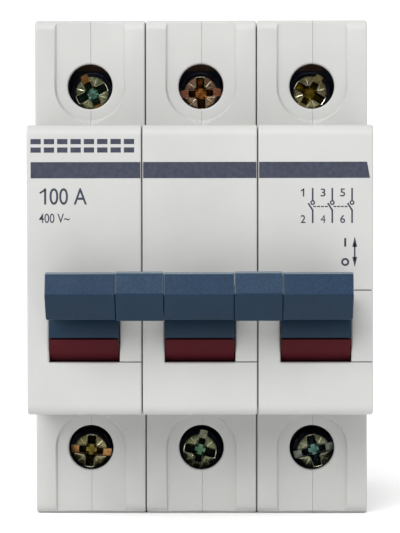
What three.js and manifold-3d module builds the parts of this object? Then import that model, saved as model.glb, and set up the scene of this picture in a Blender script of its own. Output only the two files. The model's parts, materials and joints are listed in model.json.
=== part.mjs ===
// Three-pole modular switch-disconnector for a 35 mm top-hat rail.
//
// Millimetres. +X runs across the poles, -Y is the front (the handle side), +Z is up.
// The origin is the middle of the face that rests on the rail, so y = 0 is the rail's front.
// Each pole is a housing of two shells (base and cover) around its own contacts; the three
// levers are tied together and every lever drives its own contact through a wire link.

import * as THREE from "three";
import { mergeVertices } from "three/addons/utils/BufferGeometryUtils.js";
import Module from "manifold-3d";

const wasm = await Module();
wasm.setup();

// ---------------------------------------------------------------- driving dimensions

const POLES = [1, 2, 3];
const POLE_PITCH = 17.9;
const POLE_WIDTH = 17.76;
const HALF_POLE = POLE_WIDTH / 2;
const STACK_HALF = POLE_PITCH + HALF_POLE;

// Side outline of the housing
const BODY_HALF = 39.9; // half of the full height
const NOSE_HALF = 22.5; // the nose fits a 45 mm cover-plate cut-out
const NOSE_FRONT = -60.5;
const SHOULDER = -44;
const NOSE_ROUND = 1.8;
const SHOULDER_ROUND = 1.8;
const BACK = 5; // how far the body reaches behind the rail's front face
const WALL = 1.6;
const SIDE_WALL = 1.4;

// Seam between the base shell (left) and the cover shell (right)
const SEAM_X = 0.12;
const SEAM_GAP = 0.04;
const TAB_GAP = 0.15; // above, below and behind the cover's tab in the nose
const NOSE_CAP = -57; // the base's front cap is full width in front of this plane

// Rail slot: flange edges at z = +-17.5, flange 1 mm thick
const SLOT_HALF = 17.8;
const FLANGE_SLOT = 1.4;
const SEAT_HALF = 14.6;
const SEAT_RELIEF = 0.15;
const LIP = 15.2; // edge of the fixed lip that hooks over the rail's upper flange

// Lever window in the nose
const WINDOW_HALF_X = 5.45;
const WINDOW_TOP = -3.0;
const WINDOW_BOTTOM = -14.25;

// Lever: the pivot, the throw, and the section of its head in its own frame
const PIVOT = { y: -56, z: -8.65 };
const THROW = 43; // degrees from on to off, half each side of level
const LEVER_ANGLE = THROW / 2;
const LEVER_HALF_X = 5.3;
const HUB_RADIUS = 6.1;
const HUB_HALF_X = 5.38;
const INDICATOR_HALF_X = 5.35;
const CORE_RADIUS = 5.2;
const BLUE_SECTOR = 37.7; // degrees each side of the lever that the hub's own rim covers
const TRUNNION_RADIUS = 1.5;
const TRUNNION_REACH = 7.9;
const BOSS_RADIUS = 2.6;
const TIE_RADIUS = 0.9;
const TIE_HALF = POLE_PITCH + 3.2;
const COUPLER_SKIN = 0.12; // a coupler stands this much proud of the levers
const COUPLER_GAP = 0.05; // between a coupler's end and the lever beside it

// Parallel linkage: hub crank and carrier crank are equal, so both turn by the same angle
const CRANK = 3.8;
const CARRIER = { y: -24, z: PIVOT.z };
const CARRIER_RADIUS = 5.4;
const CARRIER_HALF_X = 4.6;
const LINK_X = 6.15;
const LINK_RADIUS = 0.6;

// Terminals
const SCREW_Z = 29.2; // screw hole, above and below the middle
const LINE_DROP = 0.85; // the clamps hang a little low, and their screws with them
const LOAD_DROP = 1.05;
const SIDE_PLAY = { line: [0, -0.1, -0.15], load: [-0.35, -0.3, 0.5] };
const SCREW_HOLE = 3.6;
const SCREW_LIP = 0.9; // thickness of the front wall at the screw hole
const SCREW_WELL = 4.75;
const SCREW_TUBE = 5.4;
const TUBE_END = -39.4;
const HEAD_RADIUS = 3.4;
const HEAD_FLAT = 2.75;
const HEAD_SLOPE = 0.8;
const HEAD_TOP = -38.7;
const HEAD_UNDER = -36.3;
const SHANK_RADIUS = 2.4;
const SHANK_END = -25.4;
const CLAMP_HALF_X = 6.2;
const CLAMP_WALL = 1.4;
const CLAMP_FRONT = -27.8;
const CLAMP_REAR = -12.8;
const CLAMP_PLATE = 2.5; // the threaded wall
const CLAMP_HALF_Z = 4.2;
const RECESS_HALF_X = 5.4;
const RECESS_DEPTH = 0.5;
const WIRE_HALF_X = 4.9;
const WIRE_FRONT = -24.2;
const WIRE_REAR = -13.8;

// Copper
const BAR_HALF_X = 4.1;
const BAR_THICK = 2;
const BAR_Y = -24.1;

// Rivets through the whole stack, as [y, z]
const RIVETS = [
  [-39.5, 17.6],
  [-39.5, -19],
  [-9.2, 20.8],
  [-9, -22.2],
];
const RIVET_RADIUS = 1.4;
const RIVET_HOLE = 1.7;
const RIVET_POST = 2.9;
const RIVET_HEAD = 2.6;
const COUNTERBORE = 3;
const COUNTERBORE_DEPTH = 0.9;

// Rail clip, a T-shaped slider in the back of each pole
const CLIP_WIDE = 5.1;
const CLIP_NARROW = 4.1;
const CLIP_FRONT = -3.9;
const CLIP_STEP = -1.5;
const CLIP_BACK = 4.7;
const CLIP_TOP = -18.7;
const CLIP_GAP = 0.3;

const GAP = 0.3; // running clearance between separate pieces

// ---------------------------------------------------------------- materials

const finish = (color, roughness, metalness) =>
  new THREE.MeshStandardMaterial({ color, roughness, metalness });
const MATERIALS = {
  housing: finish(0xcfd0ce, 0.55, 0),
  lever: finish(0x2f4a68, 0.5, 0),
  indicator: finish(0x7d1f2a, 0.45, 0),
  zinc: finish(0xb09a4a, 0.3, 1),
  steel: finish(0xa8a8aa, 0.35, 1),
  copper: finish(0xb87048, 0.35, 1),
  carrier: finish(0x2b2b2d, 0.6, 0),
  clip: finish(0xd8d8d4, 0.6, 0),
};

// ---------------------------------------------------------------- geometry helpers

// Local x, y and z of an extruded outline become the part's y, z and x.
const OUTLINE_TO_PART = new THREE.Matrix4().makeBasis(
  new THREE.Vector3(0, 1, 0),
  new THREE.Vector3(0, 0, 1),
  new THREE.Vector3(1, 0, 0),
);

function toSolid(geometry) {
  const bare = geometry.clone();
  bare.deleteAttribute("normal");
  bare.deleteAttribute("uv");
  const merged = mergeVertices(bare, 1e-4);
  const triVerts = new Uint32Array(merged.index.array);
  const vertProperties = new Float32Array(merged.attributes.position.array);
  return new wasm.Manifold(new wasm.Mesh({ numProp: 3, vertProperties, triVerts }));
}

function toGeometry(solid) {
  const mesh = solid.getMesh();
  const geometry = new THREE.BufferGeometry();
  geometry.setAttribute("position", new THREE.BufferAttribute(mesh.vertProperties, 3));
  geometry.setIndex(new THREE.BufferAttribute(mesh.triVerts, 1));
  geometry.computeVertexNormals();
  return geometry;
}

const join = (...solids) => solids.reduce((whole, next) => whole.add(next));
const cut = (body, ...tools) => tools.reduce((left, tool) => left.subtract(tool), body);

function block([x0, x1], [y0, y1], [z0, z1]) {
  const geometry = new THREE.BoxGeometry(x1 - x0, y1 - y0, z1 - z0);
  geometry.translate((x0 + x1) / 2, (y0 + y1) / 2, (z0 + z1) / 2);
  return toSolid(geometry);
}

// A rod along X between x0 and x1, its axis at [y, z].
function rodX(radius, x0, x1, [y, z], sides = 12) {
  const geometry = new THREE.CylinderGeometry(radius, radius, x1 - x0, sides);
  geometry.rotateZ(-Math.PI / 2);
  geometry.translate((x0 + x1) / 2, y, z);
  return toSolid(geometry);
}

// A rod along Y between y0 and y1, its axis at [x, z].
function rodY(radius, y0, y1, [x, z], sides = 20) {
  const geometry = new THREE.CylinderGeometry(radius, radius, y1 - y0, sides);
  geometry.translate(x, (y0 + y1) / 2, z);
  return toSolid(geometry);
}

// A [y, z] outline whose third value, if any, is the radius of that corner.
function outline(points) {
  const shape = new THREE.Shape();
  const corner = (i) => new THREE.Vector2(...points[(i + points.length) % points.length]);
  points.forEach(([, , radius = 0], i) => {
    const at = corner(i);
    const before = corner(i - 1).sub(at).setLength(radius).add(at);
    const after = corner(i + 1).sub(at).setLength(radius).add(at);
    if (i === 0) shape.moveTo(before.x, before.y);
    else shape.lineTo(before.x, before.y);
    if (radius > 0) shape.quadraticCurveTo(at.x, at.y, after.x, after.y);
  });
  return shape;
}

function prismX(shape, x0, x1, curveSegments = 4) {
  const geometry = new THREE.ExtrudeGeometry(shape, {
    depth: x1 - x0,
    bevelEnabled: false,
    curveSegments,
  });
  geometry.translate(0, 0, x0);
  geometry.applyMatrix4(OUTLINE_TO_PART);
  return toSolid(geometry);
}

// A [forward, up] point of the lever's own frame, at rest, as [y, z].
function leverPoint([forward, up], radius) {
  const a = THREE.MathUtils.degToRad(LEVER_ANGLE);
  const y = PIVOT.y - (forward * Math.cos(a) - up * Math.sin(a));
  const z = PIVOT.z + forward * Math.sin(a) + up * Math.cos(a);
  return radius === undefined ? [y, z] : [y, z, radius];
}

// A point at a distance and an angle above straight ahead from a centre, as [y, z].
function polar({ y, z }, radius, degrees) {
  const a = THREE.MathUtils.degToRad(degrees);
  return [y - radius * Math.cos(a), z + radius * Math.sin(a)];
}

// A ring sector round an X axis, from one angle to another above straight ahead.
function sector(centre, inner, outer, from, to, steps) {
  const angles = Array.from({ length: steps + 1 }, (_, i) => from + ((to - from) * i) / steps);
  const rim = angles.map((a) => polar(centre, outer, a));
  const bore = angles.map((a) => polar(centre, inner, a)).reverse();
  return outline([...rim, ...bore].reverse());
}

class CoilCurve extends THREE.Curve {
  // A torsion spring's wire: a helix along X, then a straight leg to the rear at each end.
  constructor({ centre, radius, x0, x1, turns, leg }) {
    super();
    Object.assign(this, { centre, radius, x0, x1, turns, leg });
  }

  getPoint(t) {
    const legShare = 0.1;
    const along = Math.min(Math.max((t - legShare) / (1 - 2 * legShare), 0), 1);
    const past = Math.max(t - 1 + legShare, 0) + Math.max(legShare - t, 0);
    const angle = Math.PI / 2 + 2 * Math.PI * this.turns * along;
    return new THREE.Vector3(
      this.x0 + (this.x1 - this.x0) * along,
      this.centre.y + this.radius * Math.cos(angle) + (past / legShare) * this.leg,
      this.centre.z + this.radius * Math.sin(angle),
    );
  }
}

// A flat or square wire swept along a curve; across is its size along X on a planar curve.
function wireAlong(curve, across, thick, steps) {
  const section = new THREE.Shape();
  section.moveTo(-across / 2, -thick / 2);
  section.lineTo(across / 2, -thick / 2);
  section.lineTo(across / 2, thick / 2);
  section.lineTo(-across / 2, thick / 2);
  return toSolid(new THREE.ExtrudeGeometry(section, { steps, extrudePath: curve }));
}

// ---------------------------------------------------------------- housing

const OUTER = outline([
  [NOSE_FRONT, -NOSE_HALF, NOSE_ROUND],
  [SHOULDER, -NOSE_HALF],
  [SHOULDER, -BODY_HALF, SHOULDER_ROUND],
  [-8, -BODY_HALF],
  [-5, -BODY_HALF + 3],
  [-5, -29],
  [BACK, -25],
  [BACK, -18.3],
  [-SEAT_RELIEF, -18.3],
  [-SEAT_RELIEF, -SEAT_HALF],
  [0, -SEAT_HALF],
  [0, SEAT_HALF],
  [-SEAT_RELIEF, SEAT_HALF],
  [-SEAT_RELIEF, SLOT_HALF],
  [FLANGE_SLOT, SLOT_HALF],
  [FLANGE_SLOT, LIP],
  [BACK - 1.4, LIP],
  [BACK, LIP + 1.8],
  [BACK, 25],
  [-5, 29],
  [-5, BODY_HALF - 3],
  [-8, BODY_HALF],
  [SHOULDER, BODY_HALF, SHOULDER_ROUND],
  [SHOULDER, NOSE_HALF],
  [NOSE_FRONT, NOSE_HALF, NOSE_ROUND],
]);

const CAVITY = outline([
  [NOSE_FRONT + WALL, -NOSE_HALF + WALL],
  [SHOULDER + WALL, -NOSE_HALF + WALL],
  [SHOULDER + WALL, -BODY_HALF + WALL],
  [-9, -BODY_HALF + WALL],
  [-6, -34],
  [-6, -16],
  [-2, -13],
  [-2, 13],
  [-6, 16],
  [-6, 34],
  [-9, BODY_HALF - WALL],
  [SHOULDER + WALL, BODY_HALF - WALL],
  [SHOULDER + WALL, NOSE_HALF - WALL],
  [NOSE_FRONT + WALL, NOSE_HALF - WALL],
]);

const FAR = 100; // longer than the part, for cutting tools

// Pockets, holes and recesses that both shells share. The end shells get the counterbores.
function housingCuts(pole) {
  const cuts = [
    // rail clip channel: a T slot that opens to the back and at the bottom
    block(
      [-CLIP_WIDE - CLIP_GAP, CLIP_WIDE + CLIP_GAP],
      [CLIP_FRONT - CLIP_GAP, CLIP_STEP + CLIP_GAP],
      [-FAR, CLIP_TOP + 1.2],
    ),
    block(
      [-CLIP_NARROW - CLIP_GAP, CLIP_NARROW + CLIP_GAP],
      [CLIP_STEP, BACK + 1],
      [-FAR, CLIP_TOP + 1.2],
    ),
    rodX(TRUNNION_RADIUS + GAP, -TRUNNION_REACH - GAP, TRUNNION_REACH + GAP, [PIVOT.y, PIVOT.z]),
    rodX(TRUNNION_RADIUS + GAP, -TRUNNION_REACH - GAP, TRUNNION_REACH + GAP, [
      CARRIER.y,
      CARRIER.z,
    ]),
    ...RIVETS.map((at) => rodX(RIVET_HOLE, -FAR, FAR, at, 8)),
  ];
  for (const side of [-1, 1]) {
    const z = side * SCREW_Z;
    const ends = [side * (BODY_HALF + 1), z].sort((a, b) => a - b);
    const entry = [side * (BODY_HALF + 1), side * (BODY_HALF - WALL - 1)].sort((a, b) => a - b);
    const recess = [SHOULDER - 1, SHOULDER + RECESS_DEPTH];
    cuts.push(
      rodY(SCREW_HOLE, SHOULDER - 1, TUBE_END + 1, [0, z], 24),
      rodY(SCREW_WELL, SHOULDER + RECESS_DEPTH + SCREW_LIP, TUBE_END + 1, [0, z], 24),
      rodY(RECESS_HALF_X, ...recess, [0, z], 24),
      block([-RECESS_HALF_X, RECESS_HALF_X], recess, ends),
      block([-WIRE_HALF_X, WIRE_HALF_X], [WIRE_FRONT, WIRE_REAR], entry),
    );
  }
  const outerSide = { 1: -1, 3: 1 }[pole];
  if (outerSide) {
    const face = outerSide * HALF_POLE;
    const bore = [face - outerSide * COUNTERBORE_DEPTH, face + outerSide].sort((a, b) => a - b);
    cuts.push(...RIVETS.map((at) => rodX(COUNTERBORE, ...bore, at, 16)));
  }
  return cuts;
}

// The walls of both shells together, before they are parted at the seam.
function housingWalls() {
  const inner = HALF_POLE - SIDE_WALL;
  const walls = cut(prismX(OUTER, -HALF_POLE, HALF_POLE), prismX(CAVITY, -inner, inner));
  const posts = RIVETS.map((at) => rodX(RIVET_POST, -inner - 0.5, inner + 0.5, at, 8));
  const tubes = [-1, 1].map((side) =>
    rodY(SCREW_TUBE, SHOULDER + WALL / 2, TUBE_END, [0, side * SCREW_Z], 24),
  );
  const bosses = [
    rodX(BOSS_RADIUS, 6, inner + 0.5, [PIVOT.y, PIVOT.z]),
    rodX(BOSS_RADIUS, 5.4, inner + 0.5, [CARRIER.y, CARRIER.z]),
    rodX(BOSS_RADIUS, -inner - 0.5, -5.4, [CARRIER.y, CARRIER.z]),
  ];
  return join(walls, ...posts, ...tubes, ...bosses, ...barRibs(inner + 0.5));
}

// Ribs on both side walls that hold the edges of the line bar and the load bar.
function barRibs(reach) {
  const ribs = [
    { y: [-28, -19.4], z: [22.3, 23.6], slot: [BAR_Y - 1.3, BAR_Y + 1.3] },
    { y: [-28, -19.4], z: [-25.2, -23.9], slot: [BAR_Y - 1.3, BAR_Y + 1.3] },
    { y: [-18, -1.5], z: [13.6, 15], slot: [-16.1, -13.5] },
    { y: [-15.6, -5.5], z: [-17.2, -16], slot: [-13.9, -11.3] },
  ];
  return ribs.flatMap(({ y, z, slot }) =>
    [-1, 1].map((side) => {
      const ends = [side * (BAR_HALF_X - 0.5), side * reach].sort((a, b) => a - b);
      const groove = [side * (BAR_HALF_X - 1), side * (BAR_HALF_X + GAP)].sort((a, b) => a - b);
      return cut(block(ends, y, z), block(groove, slot, [z[0] - 1, z[1] + 1]));
    }),
  );
}

const WALLS = housingWalls();
const SPLIT_LEFT = SEAM_X - SEAM_GAP / 2;
const SPLIT_RIGHT = SEAM_X + SEAM_GAP / 2;
const NOTCH = block(
  [-WINDOW_HALF_X, FAR],
  [-FAR, NOSE_CAP + TAB_GAP],
  [WINDOW_BOTTOM, WINDOW_TOP],
);

function baseShell(pole) {
  const leftHalf = WALLS.intersect(block([-FAR, SPLIT_LEFT], [-FAR, FAR], [-FAR, FAR]));
  const cap = WALLS.intersect(block([SPLIT_LEFT - 1, FAR], [-FAR, NOSE_CAP], [-FAR, FAR]));
  const window = block([-WINDOW_HALF_X, WINDOW_HALF_X], [-FAR, -55], [WINDOW_BOTTOM, WINDOW_TOP]);
  return cut(join(leftHalf, cap), NOTCH, window, ...housingCuts(pole));
}

function coverShell(pole) {
  const behindCap = block([SPLIT_RIGHT, FAR], [NOSE_CAP + TAB_GAP, FAR], [-FAR, FAR]);
  const tab = WALLS.intersect(
    block(
      [WINDOW_HALF_X + 0.05, FAR],
      [-FAR, NOSE_CAP + 1],
      [WINDOW_BOTTOM + TAB_GAP, WINDOW_TOP - TAB_GAP],
    ),
  );
  return cut(join(WALLS.intersect(behindCap), tab), ...housingCuts(pole));
}

// ---------------------------------------------------------------- lever and its hub

// The head's section and the neck, [forward, up] in the lever's frame.
const HEAD_SECTION = [
  [12.25, -3.6, 0.4],
  [16.6, -0.9, 0.5],
  [17.07, 2.3],
  [16.69, 2.76],
  [12.4, 2.8],
];
const HEAD_CENTRE = [15, 0.4];
const LEVER_SECTION = [[4, -0.9], [11.6, -0.9], ...HEAD_SECTION, [4, 2.4]];
const TIE_AT = leverPoint([14.6, 0.4]);
const HUB_CRANK = polar(PIVOT, CRANK, -90 + LEVER_ANGLE);
const CARRIER_CRANK = polar(CARRIER, CRANK, -90 + LEVER_ANGLE);

const leverOutline = (section) => outline(section.map(([f, u, r]) => leverPoint([f, u], r)).reverse());

function lever(pole) {
  const half = HUB_HALF_X;
  const blue = sector(
    PIVOT,
    CORE_RADIUS - 1,
    HUB_RADIUS,
    LEVER_ANGLE - BLUE_SECTOR,
    LEVER_ANGLE + BLUE_SECTOR,
    8,
  );
  const body = join(
    rodX(CORE_RADIUS, -half, half, [PIVOT.y, PIVOT.z], 20),
    prismX(blue, -half, half),
    prismX(leverOutline(LEVER_SECTION), -LEVER_HALF_X, LEVER_HALF_X, 3),
    rodX(TRUNNION_RADIUS, -TRUNNION_REACH, TRUNNION_REACH, [PIVOT.y, PIVOT.z], 12),
  );
  const tieHole = {
    1: [TIE_HALF * -1 + POLE_PITCH - GAP, FAR],
    2: [-FAR, FAR],
    3: [-FAR, TIE_HALF - POLE_PITCH + GAP],
  }[pole];
  return cut(
    body,
    rodX(TIE_RADIUS + GAP, ...tieHole, TIE_AT, 12),
    rodX(LINK_RADIUS + GAP, 1.2, FAR, HUB_CRANK, 10),
  );
}

// Clipped round the back of the hub: it shows red below the lever when on, green above when off.
function indicator() {
  const edge = BLUE_SECTOR + 3;
  const sleeve = sector(
    PIVOT,
    CORE_RADIUS + GAP,
    HUB_RADIUS,
    LEVER_ANGLE + edge,
    LEVER_ANGLE + 360 - edge,
    16,
  );
  return prismX(sleeve, -INDICATOR_HALF_X, INDICATOR_HALF_X);
}

// Joins the heads of two neighbouring levers.
function coupler() {
  const centre = leverPoint(HEAD_CENTRE);
  const points = HEAD_SECTION.map(([f, u, r]) => {
    const [y, z] = leverPoint([f, u]);
    const away = Math.hypot(y - centre[0], z - centre[1]);
    const grow = (away + COUPLER_SKIN) / away;
    return [centre[0] + (y - centre[0]) * grow, centre[1] + (z - centre[1]) * grow, r];
  });
  const half = POLE_PITCH / 2 - LEVER_HALF_X - COUPLER_GAP;
  return cut(
    prismX(outline(points.reverse()), -half, half, 3),
    rodX(TIE_RADIUS + GAP, -FAR, FAR, TIE_AT, 12),
  );
}

const tieRod = () => rodX(TIE_RADIUS, -TIE_HALF, TIE_HALF, TIE_AT, 10);

// ---------------------------------------------------------------- contacts and their drive

// A wire with both ends bent in, one end in the hub and the other in the carrier.
function driveLink() {
  const end = LINK_X + LINK_RADIUS;
  const run = block(
    [LINK_X - LINK_RADIUS, end],
    [HUB_CRANK[0] - LINK_RADIUS, CARRIER_CRANK[0] + LINK_RADIUS],
    [HUB_CRANK[1] - LINK_RADIUS, HUB_CRANK[1] + LINK_RADIUS],
  );
  return join(
    run,
    rodX(LINK_RADIUS, 1.6, end - 0.1, HUB_CRANK, 10),
    rodX(LINK_RADIUS, 1.6, end - 0.1, CARRIER_CRANK, 10),
  );
}

// The moulded rotor that holds the moving blade.
function contactCarrier() {
  const { y, z } = CARRIER;
  const half = CARRIER_HALF_X;
  const body = join(
    rodX(CARRIER_RADIUS, -half, half, [y, z], 16),
    block([-half, half], [y - 4, y + 4.4], [z, z + 9]),
    rodX(TRUNNION_RADIUS, -TRUNNION_REACH, TRUNNION_REACH, [y, z], 12),
  );
  const bladeSlot = block([-2.6 - GAP, 2.6 + GAP], [y + 0.7, y + 3.3], [z + 2.6, FAR]);
  return cut(body, bladeSlot, rodX(LINK_RADIUS + GAP, 1.2, FAR, CARRIER_CRANK, 10));
}

// The moving blade, with its contact tip brazed on.
function contactBlade() {
  const { y, z } = CARRIER;
  const arm = outline([
    [y + 1, z + 3],
    [y + 3, z + 3],
    [y + 3, z + 12],
    [y + 5.4, z + 16.5],
    [y + 5.4, z + 21.4],
    [y + 3.4, z + 21.4],
    [y + 3.4, z + 17],
    [y + 1, z + 12.4],
  ]);
  const tip = block([-2, 2], [y + 5, y + 6.6], [z + 17, z + 20.8]);
  return join(prismX(arm, -2.6, 2.6), tip);
}

// Line-side copper: under the clamp screw, then back to the fixed contact.
function lineBar() {
  const front = BAR_Y - BAR_THICK / 2;
  const stand = -13.8;
  const shape = outline([
    [front, 36.6],
    [front, 20.6],
    [stand - BAR_THICK, 16.4],
    [stand - BAR_THICK, 6],
    [stand, 6],
    [stand, 17.6],
    [front + BAR_THICK, 22],
    [front + BAR_THICK, 36.6],
  ]);
  const tip = block([-2.2, 2.2], [stand - BAR_THICK - 1.2, stand - BAR_THICK + 0.4], [7.8, 12.8]);
  return join(prismX(shape, -BAR_HALF_X, BAR_HALF_X), tip);
}

// Load-side copper: from the clamp up to where the flexible braid is welded.
function loadBar() {
  const front = BAR_Y - BAR_THICK / 2;
  const shape = outline([
    [front, -37.2],
    [front + BAR_THICK, -37.2],
    [front + BAR_THICK, -23],
    [-11.6, -19.6],
    [-11.6, -15],
    [-13.6, -15],
    [-13.6, -18.4],
    [front, -21.6],
  ]);
  return prismX(shape, -BAR_HALF_X, BAR_HALF_X);
}

// Flexible copper braid from the load bar to the blade.
function braid() {
  const route = [
    [-11, -18.4],
    [-11, -15],
    [-9.6, -8.5],
    [-10.2, -2.5],
    [-13.6, 2],
    [-17.4, 3.6],
    [-20.1, 2.7],
    [-20.4, 1],
  ].map(([y, z]) => new THREE.Vector3(0, y, z));
  return wireAlong(new THREE.CatmullRomCurve3(route), 4.8, 1, 14);
}

function torsionSpring(centre, radius, x0, x1, turns) {
  const coil = new CoilCurve({ centre, radius, x0, x1, turns, leg: 2.6 });
  return wireAlong(coil, 0.5, 0.5, 22);
}

const handleSpring = () => torsionSpring(PIVOT, 2.2, -7, -5.85, 1.5);
const contactSpring = () => torsionSpring(CARRIER, 3.4, -7, -5.2, 2.5);

// ---------------------------------------------------------------- terminals

function terminalScrew(z, slotDegrees) {
  const slope = new THREE.CylinderGeometry(HEAD_RADIUS, HEAD_FLAT, HEAD_SLOPE, 20);
  slope.translate(0, HEAD_TOP + HEAD_SLOPE / 2, z);
  const head = join(
    toSolid(slope),
    rodY(HEAD_RADIUS, HEAD_TOP + HEAD_SLOPE - 0.01, HEAD_UNDER, [0, z], 20),
    rodY(SHANK_RADIUS, HEAD_UNDER - 0.5, SHANK_END, [0, z], 12),
  );
  const slots = [
    [2 * HEAD_RADIUS + 1, 0],
    [5, 90],
  ].map(([length, turn]) => {
    const geometry = new THREE.BoxGeometry(length, 2.4, 1.25);
    geometry.rotateY(THREE.MathUtils.degToRad(-slotDegrees - turn));
    geometry.translate(0, HEAD_TOP, z);
    return toSolid(geometry);
  });
  return cut(head, ...slots);
}

// A rectangular loop: the screw pulls its back wall, and the wire with it, towards the bar.
function terminalClamp(z) {
  const loop = [z - CLAMP_HALF_Z, z + CLAMP_HALF_Z];
  const inner = CLAMP_HALF_X - CLAMP_WALL;
  return cut(
    block([-CLAMP_HALF_X, CLAMP_HALF_X], [CLAMP_FRONT, CLAMP_REAR], loop),
    block([-inner, inner], [CLAMP_FRONT + CLAMP_PLATE, CLAMP_REAR - 1.8], [z - FAR, z + FAR]),
    rodY(SHANK_RADIUS + GAP, CLAMP_FRONT - 1, CLAMP_FRONT + 3, [0, z], 12),
  );
}

// ---------------------------------------------------------------- rail clip and rivets

function railClip() {
  const foot = -BODY_HALF + 0.2;
  const plate = block([-CLIP_WIDE, CLIP_WIDE], [CLIP_FRONT, CLIP_STEP], [foot, CLIP_TOP]);
  const hook = outline([
    [CLIP_STEP - 0.5, CLIP_TOP],
    [CLIP_STEP - 0.5, -24.4],
    [CLIP_BACK, -24.4],
    [CLIP_BACK, -17.2],
    [2.2, -15],
    [FLANGE_SLOT, -15],
    [FLANGE_SLOT, CLIP_TOP],
  ]);
  const pull = block([-CLIP_NARROW, CLIP_NARROW], [CLIP_STEP - 0.5, 0.4], [foot, foot + 3]);
  const slot = block([-2.2, 2.2], [CLIP_FRONT - 1, 2], [foot + 1, foot + 2.2]);
  return cut(join(plate, prismX(hook, -CLIP_NARROW, CLIP_NARROW), pull), slot);
}

function rivet(at) {
  const seat = STACK_HALF - COUNTERBORE_DEPTH + 0.1;
  return join(
    rodX(RIVET_RADIUS, -seat - 0.3, seat + 0.3, at, 8),
    rodX(RIVET_HEAD, -seat - 0.6, -seat, at, 12),
    rodX(RIVET_HEAD, seat, seat + 0.6, at, 12),
  );
}

// ---------------------------------------------------------------- assembly

const part = new THREE.Group();

function place(name, solid, material, x = 0) {
  const mesh = new THREE.Mesh(toGeometry(solid), MATERIALS[material]);
  mesh.name = name;
  mesh.position.x = x;
  part.add(mesh);
}

// How far each screw's full slot is turned from level, seen from the front
const SLOT_DEGREES = { line: [116, 3, 59], load: [-6, 78, 14] };

for (const pole of POLES) {
  const x = (pole - 2) * POLE_PITCH;
  const put = (name, solid, material) => place(`pole${pole}_${name}`, solid, material, x);
  put("base_shell", baseShell(pole), "housing");
  put("cover_shell", coverShell(pole), "housing");
  put("lever", lever(pole), "lever");
  put("indicator", indicator(), "indicator");
  put("handle_spring", handleSpring(), "steel");
  put("drive_link", driveLink(), "steel");
  put("contact_carrier", contactCarrier(), "carrier");
  put("contact_blade", contactBlade(), "copper");
  put("contact_spring", contactSpring(), "steel");
  put("flexible_braid", braid(), "copper");
  put("line_bar", lineBar(), "copper");
  put("load_bar", loadBar(), "copper");
  put("rail_clip", railClip(), "clip");
  for (const [end, side] of [
    ["line", 1],
    ["load", -1],
  ]) {
    const z = side * SCREW_Z - (side > 0 ? LINE_DROP : LOAD_DROP);
    const at = x + SIDE_PLAY[end][pole - 1];
    const screw = terminalScrew(z, SLOT_DEGREES[end][pole - 1]);
    place(`pole${pole}_${end}_screw`, screw, "zinc", at);
    place(`pole${pole}_${end}_clamp`, terminalClamp(z), "steel", at);
  }
}

[-1, 1].forEach((side, i) =>
  place(`lever_coupler_${i + 1}`, coupler(), "lever", (side * POLE_PITCH) / 2),
);
place("lever_tie_rod", tieRod(), "steel");
RIVETS.forEach((at, i) => place(`housing_rivet_${i + 1}`, rivet(at), "steel"));

export default part;
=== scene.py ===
# Looks of the three-pole modular switch-disconnector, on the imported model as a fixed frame.
# Sizes are in millimetres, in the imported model's frame, until a mesh is made; MM makes metres.
import json
import math

import bmesh
import bpy
from mathutils import Matrix, Vector

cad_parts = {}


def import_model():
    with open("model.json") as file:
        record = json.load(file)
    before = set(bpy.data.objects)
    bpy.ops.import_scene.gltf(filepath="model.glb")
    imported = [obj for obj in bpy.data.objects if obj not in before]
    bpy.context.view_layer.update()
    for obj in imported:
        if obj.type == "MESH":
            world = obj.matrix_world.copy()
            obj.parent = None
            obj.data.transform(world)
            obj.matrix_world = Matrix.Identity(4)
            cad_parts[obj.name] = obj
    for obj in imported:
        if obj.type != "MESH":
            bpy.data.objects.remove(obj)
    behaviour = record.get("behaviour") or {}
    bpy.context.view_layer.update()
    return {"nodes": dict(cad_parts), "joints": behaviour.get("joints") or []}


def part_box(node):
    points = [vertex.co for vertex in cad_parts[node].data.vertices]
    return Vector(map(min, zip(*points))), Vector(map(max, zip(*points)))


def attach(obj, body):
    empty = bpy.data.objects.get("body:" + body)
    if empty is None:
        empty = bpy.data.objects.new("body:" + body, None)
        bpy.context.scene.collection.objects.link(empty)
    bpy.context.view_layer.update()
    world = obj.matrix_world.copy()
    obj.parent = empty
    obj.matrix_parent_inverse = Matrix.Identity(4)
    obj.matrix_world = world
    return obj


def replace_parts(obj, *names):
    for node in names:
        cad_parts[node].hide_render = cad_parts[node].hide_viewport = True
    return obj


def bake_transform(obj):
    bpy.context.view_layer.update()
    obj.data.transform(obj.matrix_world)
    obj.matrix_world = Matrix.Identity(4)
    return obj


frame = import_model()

MM = 0.001
WELD = 2e-7  # metres; the CAD's vertices that belong together are this close
SLIVER = 2e-6  # metres; what cutting leaves is shorter than this
POLES = (1, 2, 3)


def mm_box(node):
    low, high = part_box(node)
    return low / MM, high / MM


# ------------------------------------------------------------------ places, from the frame

BOX = {n: mm_box(n) for n in frame["nodes"]}
CENTRE = {}
for p in POLES:
    low, high = BOX[f"pole{p}_base_shell"]
    CENTRE[p] = (low.x + high.x) / 2
LOW, HIGH = BOX["pole2_base_shell"]
HALF = (HIGH.x - LOW.x) / 2
NOSE_FRONT, BACK = LOW.y, HIGH.y
BODY_HALF = HIGH.z
HUB = {}
for name, joint in ((j["name"], j) for j in frame["joints"]):
    if "pos_m" in joint:
        HUB[name] = Vector(joint["pos_m"]) / MM
PIVOT = HUB["toggle"]
CARRIER = HUB["contact_turn_2"]
LEVER_ANGLE = 21.5  # degrees above straight ahead, at rest
SHOULDER = -44.0
NOSE_HALF = 22.5
RECESS_DEPTH = 0.5
SCREW_Z = 29.2


def middle(node):
    """The (y, z) of a node's middle."""
    low, high = BOX[node]
    return (low.y + high.y) / 2, (low.z + high.z) / 2


# ------------------------------------------------------------------ mesh helpers


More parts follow.
